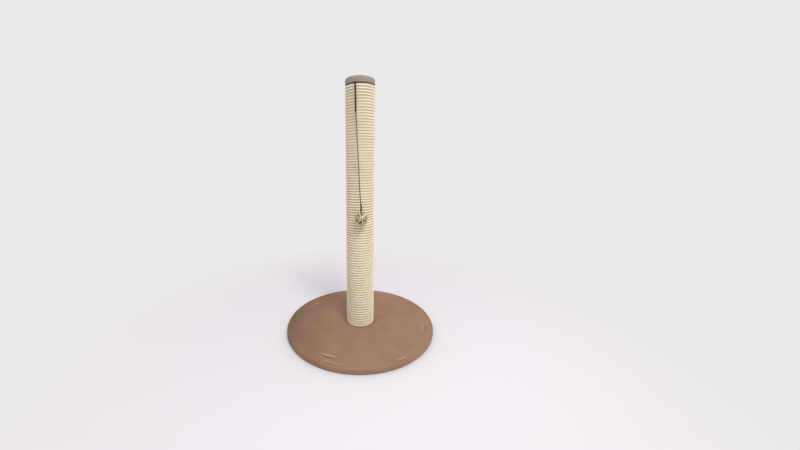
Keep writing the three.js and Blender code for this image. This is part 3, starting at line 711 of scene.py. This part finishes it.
# The cap is a round board with wadding on it, under a cover of grey plush.
cap = {
    "voxel": 3.2 * mm,
    "start": 1.2 * mm,           # how much smaller the form starts before it is blown up
    "cloth": {"use_pressure": True, "uniform_pressure_force": 4.0, "quality": 6, "tension_stiffness": 12,
              "compression_stiffness": 12, "bending_stiffness": 2},
    "frames": 20,
    "mostSwell": 1.7 * mm,
    "skin": 1.4 * mm,
    "boardCover": 0.8 * mm,      # the least plush outside the board's lower edge
}


def capForm(shrink):
    # the cap's closed form: flat below, with a small lower rounding, a high soft edge and a crowned top
    low, high = boxes["cap_plush"]
    radius, bottom, top = high.x - shrink, low.z, high.z - shrink
    edge, under, crown = 6 * mm, 1.5 * mm, 0.5 * mm
    outline = [(0, bottom), (radius * 0.4, bottom), (radius * 0.8, bottom)]
    outline += arcPoints((radius - under, bottom + under), under, -90, 0, 4)
    outline += arcPoints((radius - edge, top - crown - edge), edge, 0, 90, 8)
    outline += [(radius * 0.5, top - crown * 0.4), (radius * 0.25, top - crown * 0.1), (0, top)]
    return spun(outline, 72)


def swell(piece):
    # blows the closed form up as cloth, then lets each point move only so far
    rest = [vert.co.copy() for vert in piece.data.vertices]
    cloth = piece.modifiers.new("cloth", "CLOTH").settings
    for name, value in cap["cloth"].items():
        setattr(cloth, name, value)
    cloth.effector_weights.gravity = 0
    scene = bpy.context.scene
    scene.frame_start, scene.frame_end = 1, cap["frames"]
    for number in range(1, cap["frames"] + 1):
        scene.frame_set(number)
    result = evaluatedMesh(piece)
    piece.modifiers.clear()
    for vert, moved, start in zip(piece.data.vertices, result.vertices, rest):
        step = moved.co - start
        vert.co = start + step * min(1, cap["mostSwell"] / max(step.length, 1e-9))
    bpy.data.meshes.remove(result)
    scene.frame_set(1)


def coverBoard(mesh):
    # moves the cover's points out to where they hide the board's side and lower edge
    low, high = boxes["cap_board"]
    least = cap["boardCover"]
    for vert in mesh.vertices:
        radius, height = math.hypot(vert.co.x, vert.co.y), vert.co.z
        if height > high.z:
            continue
        nearest = Vector((min(radius, high.x), max(height, low.z)))
        away = Vector((radius, height)) - nearest
        if away.length >= least:
            continue
        if away.length > 1e-7:
            goal = nearest + away.normalized() * least
        elif high.x - radius < height - low.z:
            goal = Vector((high.x + least, height))
        else:
            goal = Vector((radius, low.z - least))
        vert.co.x *= goal.x / radius
        vert.co.y *= goal.x / radius
        vert.co.z = goal.y


def addCap():
    material = plushMaterial("shortGreyPlush", "#77736A", "#948E81", "#ACA698", "#D6D2C8")
    low, high = boxes["cap_plush"]
    form = objectFrom("capCover", capForm(cap["start"]), material)
    modify(form, "REMESH", mode="VOXEL", voxel_size=cap["voxel"])
    applyModifiers(form)
    swell(form)
    bm = bmesh.new()
    bm.from_mesh(form.data)
    for vert in bm.verts:
        radius = math.hypot(vert.co.x, vert.co.y)
        vert.co.z = min(max(vert.co.z, low.z), high.z)
        if vert.co.z < low.z + 0.8 * mm and radius < high.x - 3 * mm:
            vert.co.z = low.z
        if radius > high.x:
            vert.co.x *= high.x / radius
            vert.co.y *= high.x / radius
    bmesh.ops.smooth_vert(bm, verts=bm.verts, factor=0.3, use_axis_x=True, use_axis_y=True, use_axis_z=True)
    bm.to_mesh(form.data)
    bm.free()
    modify(form, "SUBSURF", levels=2, render_levels=2)
    applyModifiers(form)
    coverBoard(form.data)
    modify(form, "SOLIDIFY", thickness=cap["skin"], offset=-1)
    applyModifiers(form)
    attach(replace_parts(form, "cap_plush"), "post")
    print("cap covered")


# The ball is moulded in two halves, an open lattice of bars on six great circles.
ball = {
    "diameter": 32.4 * mm,
    "wall": 2 * mm,
    "bar": 3.1 * mm,
    "edge": 0.3 * mm,            # rounding of the bars' edges
    "seam": 0.3 * mm,
    "tieTilt": 15,               # degrees along the bar from its middle to where the cord holds it
}


def hangingFrame():
    # +Z runs up along the cord from the ball's middle
    points = routePoints()
    up = (points[-4] - points[-1]).normalized()
    turn = upZ.rotation_difference(up).to_matrix().to_4x4()
    return Matrix.Translation(points[-1] - up * cord["ballHang"]) @ turn


def ballTurn():
    # turns the lattice so that the cord holds it at +Z and a hub faces the front
    tilt = math.radians(ball["tieTilt"])
    up = Vector((1, 1, 0)).normalized() * math.cos(tilt) + upZ * math.sin(tilt)
    front = Vector((1, -1, 1)).normalized()
    back = -(front - up * front.dot(up)).normalized()
    return Matrix((back.cross(up), back, up)).to_4x4()


def ballLattice():
    # the sphere's 24 triangles, each cut into smaller ones and inset by half a bar, with its middle left open
    radius = ball["diameter"] / 2
    bm = bmesh.new()

    def toSphere():
        for vert in bm.verts:
            vert.co = vert.co.normalized() * radius

    bmesh.ops.create_cube(bm, size=1)
    bmesh.ops.poke(bm, faces=bm.faces)
    toSphere()
    mark = bm.faces.layers.int.new("window")
    for i, face in enumerate(bm.faces):
        face[mark] = i
    bmesh.ops.subdivide_edges(bm, edges=bm.edges, cuts=5, use_grid_fill=True)
    toSphere()
    spare = []
    for i in range(24):
        window = [face for face in bm.faces if face[mark] == i]
        bmesh.ops.inset_region(bm, faces=window, thickness=ball["bar"] / 2, use_even_offset=True)
        spare += window
    bmesh.ops.delete(bm, geom=list(set(spare)), context="FACES")
    toSphere()
    return bm


def mouldedPlastic(name, deep, middle, light, roughness, specular):
    # straw-coloured polypropylene, injection moulded: satin and faintly clouded; darker copies give painted shade
    # inside the ball and on the bars' sides
    material = newMaterial(name)
    place = objectPlace(material)
    colour = colourRamp(material, clouds(material, place, 9 * mm, 3), [(0.3, deep), (0.5, middle), (0.7, light)])
    return shade(material, colour, clouds(material, place, 0.5 * mm, 2), 0.05 * mm, 0.5, Roughness=roughness,
                 IOR=1.49, Specular_IOR_Level=specular)


def addBall():
    outside = mouldedPlastic("mouldedPolypropylene", "#B4A466", "#CABC86", "#E0D6AE", 0.32, 0.5)
    # painted shade: the inner faces are a dark copy of the plastic and the bars' sides a middle one
    inside = mouldedPlastic("paintedShadePolypropylene", "#3C3417", "#484020", "#574E2C", 0.85, 0.1)
    sides = mouldedPlastic("shadedPolypropylene", "#6B6132", "#7A6F3D", "#8A7F4C", 0.5, 0.3)
    turn = hangingFrame() @ ballTurn()
    lattice = ballLattice()
    normal = Vector((1, 1, 0)).normalized()
    for side, node in ((1, "ball_shell_upper"), (-1, "ball_shell_lower")):
        bm = lattice.copy()
        bmesh.ops.bisect_plane(bm, geom=bm.verts[:] + bm.edges[:] + bm.faces[:], dist=1e-6,
                               plane_co=normal * side * ball["seam"] / 2, plane_no=normal * side, clear_inner=True)
        bmesh.ops.remove_doubles(bm, verts=bm.verts, dist=0.05 * mm)
        bmesh.ops.recalc_face_normals(bm, faces=bm.faces)
        if sum(face.normal.dot(face.calc_center_median()) for face in bm.faces) < 0:
            bmesh.ops.reverse_faces(bm, faces=bm.faces)
        bmesh.ops.transform(bm, matrix=turn, verts=bm.verts)
        shell = objectFrom("ballShellUpper" if side > 0 else "ballShellLower", bm, outside)
        shell.data.materials.append(inside)
        shell.data.materials.append(sides)
        modify(shell, "SOLIDIFY", thickness=ball["wall"], offset=-1, material_offset=1, material_offset_rim=2)
        modify(shell, "BEVEL", width=ball["edge"], segments=1, limit_method="ANGLE", angle_limit=math.radians(50))
        modify(shell, "SUBSURF", levels=2, render_levels=2)
        applyModifiers(shell)
        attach(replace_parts(shell, node), "ball")
    lattice.free()
    print("ball moulded")


def addTie(material):
    # the cord's lower end: doubled, knotted above the ball and looped round one of its bars
    place = hangingFrame()
    top, barMiddle = cord["ballHang"], (ball["diameter"] - ball["wall"]) / 2
    knotMiddle = barMiddle + cord["loopRadius"] + cord["diameter"] / 2 + 0.3 * mm + cord["knotHeight"] / 2
    across = (ballTurn() @ Vector((1, -1, 0)).normalized()).normalized()
    ring = []
    for i in range(28):
        a = fullTurn * i / 28
        reach = cord["loopRadius"] * (1 + 0.18 * max(0, math.cos(a)) ** 6)
        ring.append(across * reach * math.sin(a) + upZ * (barMiddle + reach * math.cos(a)))

    def placed(points):
        return [place @ point for point in points]

    def byKnot(*points):
        # a smooth route through points in mm from the knot's middle
        return smoothRoute(placed([Vector(point) * mm + upZ * knotMiddle for point in points]))

    straight = [upZ * (knotMiddle + (top - knotMiddle) * i / 5) for i in range(6)]
    beside = byKnot((0.6, 0.5, 1), (1.5, 0.3, 3), (1.95, -0.1, 5), (1.9, -0.5, 8), (1.95, -0.2, 11), (2.2, 0.2, 14))
    free = byKnot((1.2, -0.3, 0.3), (3.2, -0.5, 0.1), (5.2, -0.6, -0.6), (7.4, -0.5, -1.4))
    pieces = {
        "tie_loop": laidCord("tieLoop", placed(ring), material, closed=True),
        "lower_knot": laidCord("lowerKnot", placed([point + upZ * knotMiddle for point in knotRoute()]), material),
        "tie_cord": laidCord("tieCord", smoothRoute(placed(straight)), material),
        "tie_return": laidCord("tieReturn", beside, material, phase=2 * mm),
        "tie_tail": laidCord("tieTail", free, material),
    }
    for node, piece in pieces.items():
        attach(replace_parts(piece, node), "ball")
    print("ball tied")


# The bell in the ball is pressed brass, with a loose steel pea.
bell = {
    "diameter": 13 * mm,
    "wall": 0.6 * mm,
    "bead": 0.4 * mm,            # the ridge round its middle
    "beadWidth": 0.5 * mm,
    "slotWidth": 1.4 * mm,
    "slotLength": 9 * mm,
    "holeWidth": 2.6 * mm,
    "cutDepth": 1.3,             # of the slot and its holes, in radii
}


def brassMaterial():
    # pressed brass, tumbled and a little tarnished
    return mottled("pressedBrass", 3 * mm, 4, [(0.3, "#7C6A3C"), (0.6, "#A8925C")], 0.05 * mm, 0.4, Metallic=1.0,
                   Roughness=0.34)


def bellSphere(radius, bead=0.0):
    # a closed sphere with a ridge of this height round its middle
    outline = [(radius * math.cos(a), radius * math.sin(a)) for a in map(math.radians, range(-90, 91, 6))]
    return spun([(0 if abs(abs(z) - radius) < 1e-9 else r + bead * math.exp(-((z / bell["beadWidth"]) ** 2)), z)
                 for r, z in outline], 64)


def addBell():
    low, high = boxes["bell_shell"]
    radius, depth = bell["diameter"] / 2, bell["diameter"] / 2 * bell["cutDepth"]
    body = radius - bell["bead"]
    shell = objectFrom("bellShell", bellSphere(body, bell["bead"]), brassMaterial())
    slot = bmesh.new()
    bmesh.ops.create_cube(slot, size=1, matrix=Matrix.Translation((0, 0, -radius)) @ Matrix.Diagonal(
        (bell["slotLength"], bell["slotWidth"], depth, 1)))
    cutters = [objectFrom("bellInside", bellSphere(body - bell["wall"])), objectFrom("bellSlot", slot)]
    for side in (-1, 1):
        hole = bmesh.new()
        bmesh.ops.create_cone(hole, cap_ends=True, segments=24, radius1=bell["holeWidth"] / 2,
                              radius2=bell["holeWidth"] / 2, depth=depth,
                              matrix=Matrix.Translation((side * bell["slotLength"] / 2, 0, -radius)))
        cutters.append(objectFrom("bellHole", hole))
    for cutter in cutters:
        modify(shell, "BOOLEAN", operation="DIFFERENCE", object=cutter, solver="EXACT")
    applyModifiers(shell)
    for cutter in cutters:
        bpy.data.objects.remove(cutter)
    shell.data.transform(Matrix.Translation((low + high) / 2) @ hangingFrame().to_3x3().to_4x4())
    shell.data.set_sharp_from_angle(angle=math.radians(35))
    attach(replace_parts(shell, "bell_shell"), "bell")

    peaLow, peaHigh = boxes["bell_pea"]
    bm = bmesh.new()
    bmesh.ops.create_icosphere(bm, subdivisions=4, radius=(peaHigh.z - peaLow.z) / 2,
                               matrix=Matrix.Translation((peaLow + peaHigh) / 2))
    pea = objectFrom("bellPea", bm, steelMaterial("steelPea"))
    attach(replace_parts(pea, "bell_pea"), "bell")
    print("bell made")


# Finishes of the pieces that keep the solid's shape.
def steelMaterial(name):
    # steel wire and pressings with a thin bright zinc coat: grey-blue, faintly streaked
    return mottled(name, 2.5 * mm, 4, [(0.3, "#A3A6AB"), (0.7, "#CDD0D4")], 0.03 * mm, 0.4, Metallic=1.0,
                   Roughness=0.32)


def boardMaterial():
    # medium-density fibreboard, sawn: even brown felted fibre
    return mottled("sawnFibreboard", 1.2 * mm, 6, [(0.3, "#94734B"), (0.5, "#B08A5C"), (0.75, "#C7A578")], 0.15 * mm,
                   0.6, {"Roughness": 0.7}, Roughness=0.85)


def plugMaterial():
    # poplar, turned: pale, with growth rings about a pith that lies off the post's axis
    material = newMaterial("turnedPoplar")
    moved = addNode(material, "Mapping", {"Vector": objectPlace(material), "Location": (0.03, 0.012, 0)})
    inputs = {"Vector": moved.outputs["Vector"], "Scale": 1 / (20 * mm), "Distortion": 2.0, "Detail": 3}
    rings = addNode(material, "TexWave", inputs, wave_type="RINGS", rings_direction="Z")
    colour = colourRamp(material, rings.outputs["Fac"], [(0.2, "#B8935F"), (0.6, "#CDAC7C"), (1.0, "#D9BD92")])
    return shade(material, colour, rings.outputs["Fac"], 0.1 * mm, 0.4, Roughness=0.75)


def tubeMaterial():
    # spirally wound kraft paper tube: brown, with the slanting edges of its outer ply
    material = newMaterial("spiralKraftPaper")
    place = objectPlace(material)
    fibre = clouds(material, place, 2 * mm, 6)
    x, y, z = addNode(material, "SeparateXYZ", {"Vector": place}).outputs
    turns = calculated(material, "DIVIDE", calculated(material, "ARCTAN2", y, x), fullTurn)
    rise = calculated(material, "DIVIDE", z, 120 * mm)
    part = calculated(material, "FRACT", calculated(material, "SUBTRACT", rise, turns))
    edge = colourRamp(material, part, [(0.0, "#8A6A42"), (0.02, "#FFFFFF"), (0.98, "#FFFFFF"), (1.0, "#8A6A42")])
    paper = colourRamp(material, fibre, [(0.3, "#9C774C"), (0.7, "#B89364")])
    return shade(material, multiplied(material, paper, edge), fibre, 0.1 * mm, 0.5, Roughness=0.8)


def feltMaterial(name, dark, light):
    # needled polyester fibre: matt and cloudy
    return mottled(name, 1.6 * mm, 8, [(0.3, dark), (0.7, light)], 0.3 * mm, 0.9,
                   {"Roughness": 0.75, "Distortion": 1.0}, Roughness=0.95, Sheen_Weight=0.2)


def rubberMaterial():
    # moulded thermoplastic rubber: dark and matt, with a fine spark-eroded grain
    return mottled("mouldedRubber", 0.6 * mm, 3, [(0.3, "#232221"), (0.7, "#343230")], 0.1 * mm, 0.6, Roughness=0.7)


def finishSolids():
    dress(boardMaterial(), "base_board", "cap_board")
    dress(plugMaterial(), "bottom_plug", "top_plug")
    dress(tubeMaterial(), "post_tube")
    dress(feltMaterial("needledFelt", "#33302E", "#5A5653"), "base_underlay")
    dress(feltMaterial("polyesterWadding", "#D8D3C6", "#F3EFE6"), "cap_padding")
    dress(rubberMaterial(), *[f"foot_pad_{i}" for i in range(1, 5)])
    dress(steelMaterial("zincPlatedSteel"), "base_bolt", "bolt_washer", "plug_insert", "cap_screw_1", "cap_screw_2",
          "cord_staple")
    print("solids finished")


# A plain pale studio: a wide floor that fades into the world's colour, a soft key light and even fill.
studio = {
    "backdrop": "#ECE9EC",
    "floor": "#E2DFE2",
    "fill": 0.9,
    "key": {"place": (0.65, -1.4, 2.1), "aim": (0, 0, 0.3), "size": 1.0, "watts": 33},
    "floorRadius": 12.0,
    "fade": (0.24, 0.85),        # metres from the post, where the floor starts and ends to fade
}


def addStage():
    pale = linearColour(studio["backdrop"])
    bm = bmesh.new()
    bmesh.ops.create_circle(bm, cap_ends=True, segments=96, radius=studio["floorRadius"])
    floor = objectFrom("studioFloor", bm, newMaterial("paleFloor"), smooth=False)
    material = floor.data.materials[0]
    shade(material, studio["floor"], Roughness=1.0, Specular_IOR_Level=0.0)
    away = addNode(material, "VectorMath", {0: objectPlace(material)}, operation="LENGTH").outputs["Value"]
    fade = dict(zip(("From Min", "From Max"), studio["fade"]))
    far = addNode(material, "MapRange", {"Value": away, **fade}, interpolation_type="SMOOTHSTEP")
    seen = addNode(material, "LightPath").outputs["Is Camera Ray"]
    share = calculated(material, "MULTIPLY", far.outputs["Result"], seen)
    glow = addNode(material, "Emission", {"Color": pale}).outputs["Emission"]
    mixed = addNode(material, "MixShader", {0: share, 1: shaderOf(material).outputs[0], 2: glow})
    output = material.node_tree.nodes["Material Output"]
    material.node_tree.links.new(mixed.outputs[0], output.inputs["Surface"])

    world = bpy.data.worlds.new("studioWorld")
    world.use_nodes = True
    bpy.context.scene.world = world
    path = addNode(world, "LightPath")
    glossy = calculated(world, "MAXIMUM", path.outputs["Is Camera Ray"], path.outputs["Is Glossy Ray"])
    seen = calculated(world, "MAXIMUM", glossy, path.outputs["Is Transmission Ray"])
    strength = addNode(world, "MapRange", {"Value": seen, "To Min": studio["fill"], "To Max": 1.0})
    background = world.node_tree.nodes["Background"]
    background.inputs["Color"].default_value = pale
    world.node_tree.links.new(strength.outputs["Result"], background.inputs["Strength"])

    key = bpy.data.lights.new("keyLight", "AREA")
    key.shape = "DISK"
    key.size = studio["key"]["size"]
    key.energy = studio["key"]["watts"]
    lamp = addObject("keyLight", key)
    lamp.location = studio["key"]["place"]
    aim = Vector(studio["key"]["aim"]) - Vector(studio["key"]["place"])
    lamp.rotation_euler = aim.to_track_quat("-Z", "Y").to_euler()
    bpy.context.scene.view_settings.view_transform = "Standard"
    print("studio lit")


addCamera()
cordFinish = addCord()
addRope()
addTacks()
addBaseCover()
addCap()
addBall()
addTie(cordFinish)
addBell()
finishSolids()
addStage()
